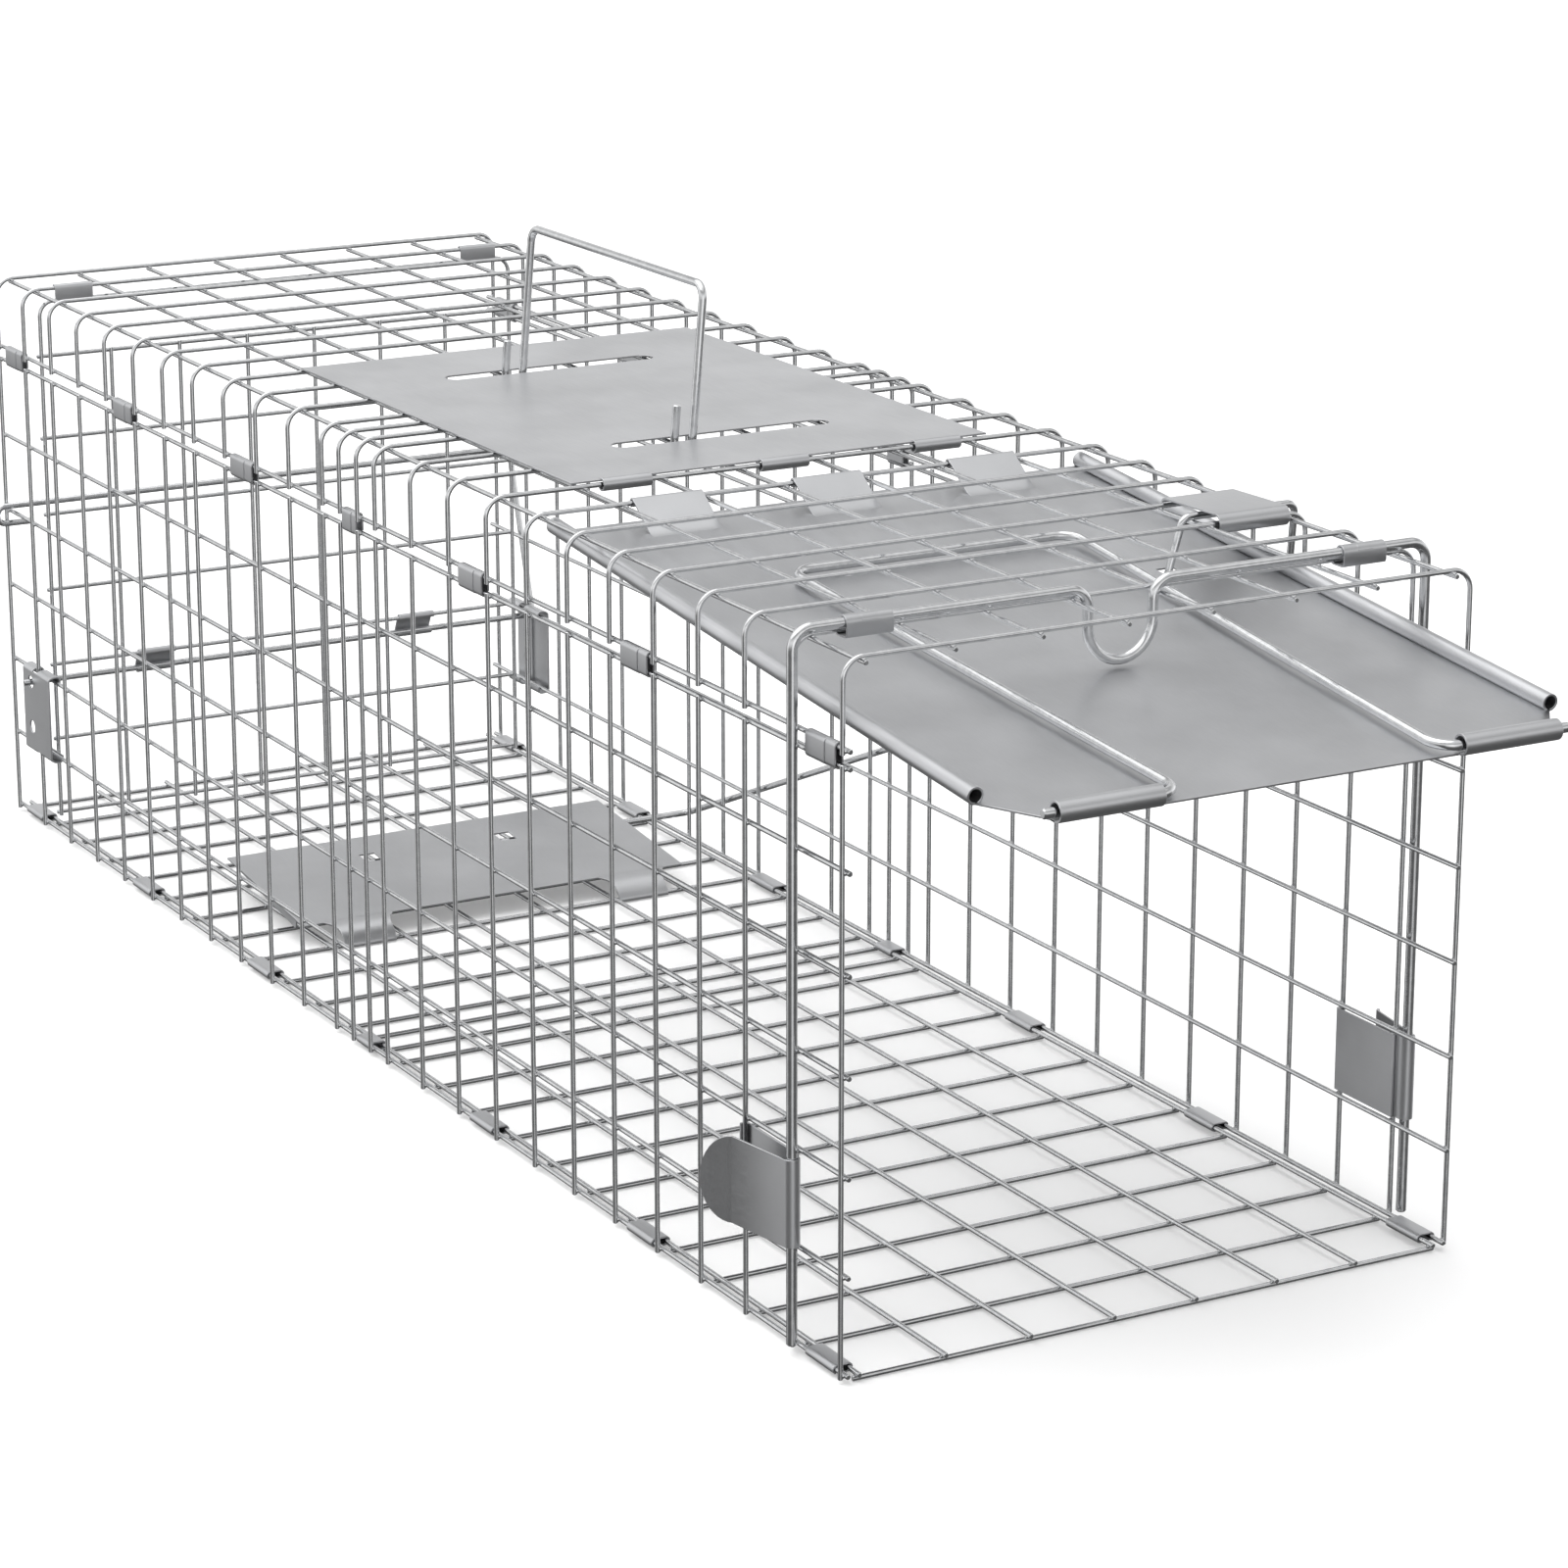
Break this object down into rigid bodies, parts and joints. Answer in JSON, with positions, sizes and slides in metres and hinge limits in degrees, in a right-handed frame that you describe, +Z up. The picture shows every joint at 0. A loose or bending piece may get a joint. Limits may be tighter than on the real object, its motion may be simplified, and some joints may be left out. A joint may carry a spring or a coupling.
{
  "type": "live catch trap",
  "caption": "Long welded wire mesh cage with a sheet drop door set open at one end, foot pedal, trigger rod, pinned rear gate and a top carrying handle.",
  "frame": {"origin": "centre of the bounding box in X and Y, at the underside of the floor wires in Z", "axes": "+Y along the cage from the door end to the rear gate, +Z up, +X to the trigger rod's side"},
  "size_m": [0.3024, 0.9096, 0.3314],
  "materials": {
    "zinc_wire": "bright zinc-plated wire",
    "zinc_sheet": "satin galvanised sheet"
  },
  "bodies": {
    "cage": {"side_panel_left": "zinc_wire", "side_panel_right": "zinc_wire", "roof_panel": "zinc_wire", "floor_panel": "zinc_wire", "rear_gate": "zinc_wire", "roof_clip_left_1": "zinc_sheet", "floor_clip_left_1": "zinc_sheet", "roof_clip_left_2": "zinc_sheet", "floor_clip_left_2": "zinc_sheet", "roof_clip_left_3": "zinc_sheet", "floor_clip_left_3": "zinc_sheet", "roof_clip_left_4": "zinc_sheet", "floor_clip_left_4": "zinc_sheet", "roof_clip_left_5": "zinc_sheet", "floor_clip_left_5": "zinc_sheet", "roof_clip_left_6": "zinc_sheet", "floor_clip_left_6": "zinc_sheet", "roof_clip_left_7": "zinc_sheet", "floor_clip_left_7": "zinc_sheet", "roof_clip_right_1": "zinc_sheet", "floor_clip_right_1": "zinc_sheet", "roof_clip_right_2": "zinc_sheet", "floor_clip_right_2": "zinc_sheet", "roof_clip_right_3": "zinc_sheet", "floor_clip_right_3": "zinc_sheet", "roof_clip_right_4": "zinc_sheet", "floor_clip_right_4": "zinc_sheet", "roof_clip_right_5": "zinc_sheet", "floor_clip_right_5": "zinc_sheet", "roof_clip_right_6": "zinc_sheet", "floor_clip_right_6": "zinc_sheet", "roof_clip_right_7": "zinc_sheet", "floor_clip_right_7": "zinc_sheet", "frame_rod": "zinc_wire", "frame_clip_left": "zinc_sheet", "frame_clip_right": "zinc_sheet", "spring_bracket_left": "zinc_sheet", "spring_bracket_right": "zinc_sheet", "gate_clip_left": "zinc_sheet", "gate_clip_right": "zinc_sheet", "pin_clip_left": "zinc_sheet", "pin_clip_right": "zinc_sheet", "rear_bracket_left": "zinc_sheet", "rear_bracket_right": "zinc_sheet", "guard_plate": "zinc_sheet", "rod_cover": "zinc_sheet", "lock_pin": "zinc_wire"},
    "door": {"drop_door": "zinc_sheet"},
    "door_bail": {"lock_bail": "zinc_wire"},
    "handle": {"carry_handle": "zinc_wire"},
    "foot_pedal": {"pedal": "zinc_sheet"},
    "trigger": {"trigger_rod": "zinc_wire"}
  },
  "joints": [
    {"name": "door_swing", "type": "hinge", "parent": "cage", "child": "door", "pos_m": [0, -0.11908, 0.26558], "axis": [1, 0, 0], "range_deg": [0, 43.5]},
    {"name": "bail_swing", "type": "hinge", "parent": "door", "child": "door_bail", "pos_m": [0, -0.4509, 0.2309], "axis": [1, 0, 0], "range_deg": [0, 1.2]},
    {"name": "handle_swing", "type": "hinge", "parent": "cage", "child": "handle", "pos_m": [-0.01774, 0.04527, 0.26298], "axis": [0, 1, 0], "range_deg": [-70, 70]},
    {"name": "pedal_tilt", "type": "hinge", "parent": "cage", "child": "foot_pedal", "pos_m": [0, 0.17502, 0.001], "axis": [1, 0, 0], "range_deg": [-2.4, 0]},
    {"name": "trigger_swing", "type": "hinge", "parent": "cage", "child": "trigger", "pos_m": [0.1, -0.24527, 0.26625], "axis": [1, 0, 0], "range_deg": [-0.4, 0]}
  ],
  "couplings": [
    {"joint": "trigger_swing", "follows": "pedal_tilt", "ratio": 0.153}
  ]
}
